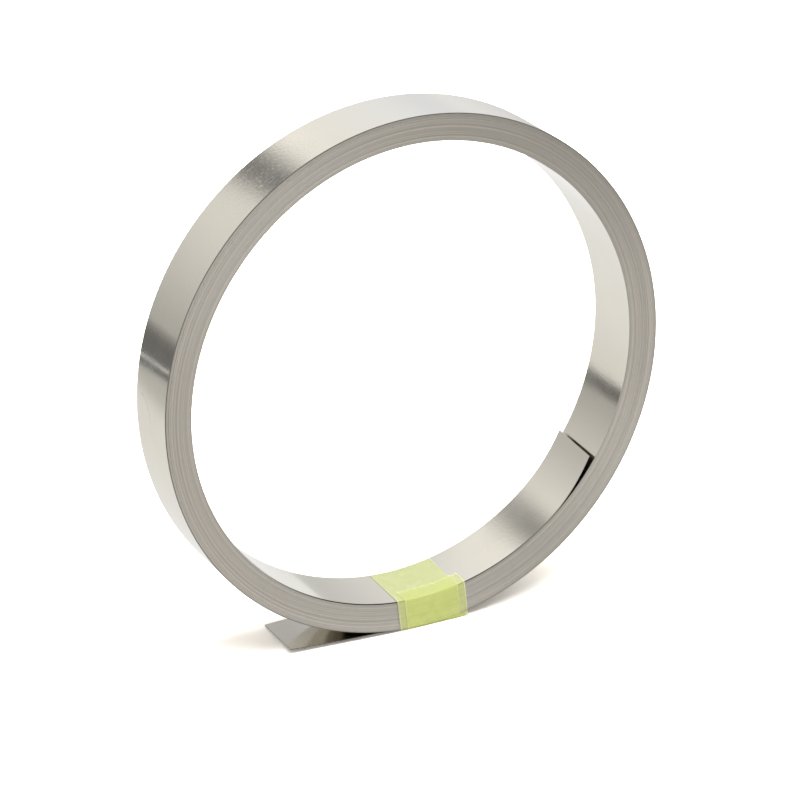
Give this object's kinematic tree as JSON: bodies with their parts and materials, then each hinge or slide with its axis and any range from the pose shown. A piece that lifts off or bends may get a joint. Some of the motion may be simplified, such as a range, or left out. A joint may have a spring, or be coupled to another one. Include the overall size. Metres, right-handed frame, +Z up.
{
  "type": "coil of nickel strip",
  "caption": "Thin bright nickel strip wound into a narrow ring-shaped coil, both ends free, held by a band of yellow-green tape.",
  "frame": {"origin": "centre of the coil's bore, at the middle of the strip's width", "axes": "+Y along the bore to the back, +Z up with the coil standing on its rim, +X to the right seen from the front; the free outer end runs off to -X at the bottom"},
  "size_m": [0.08, 0.0103, 0.0801],
  "materials": {
    "nickel": "bright rolled nickel, faint rolling lines along the strip, satin slit edges",
    "tape": "thin yellow-green tape, slightly see-through, soft satin"
  },
  "bodies": {
    "root": {"nickel_strip": "nickel", "tape_band": "tape"}
  },
  "joints": []
}
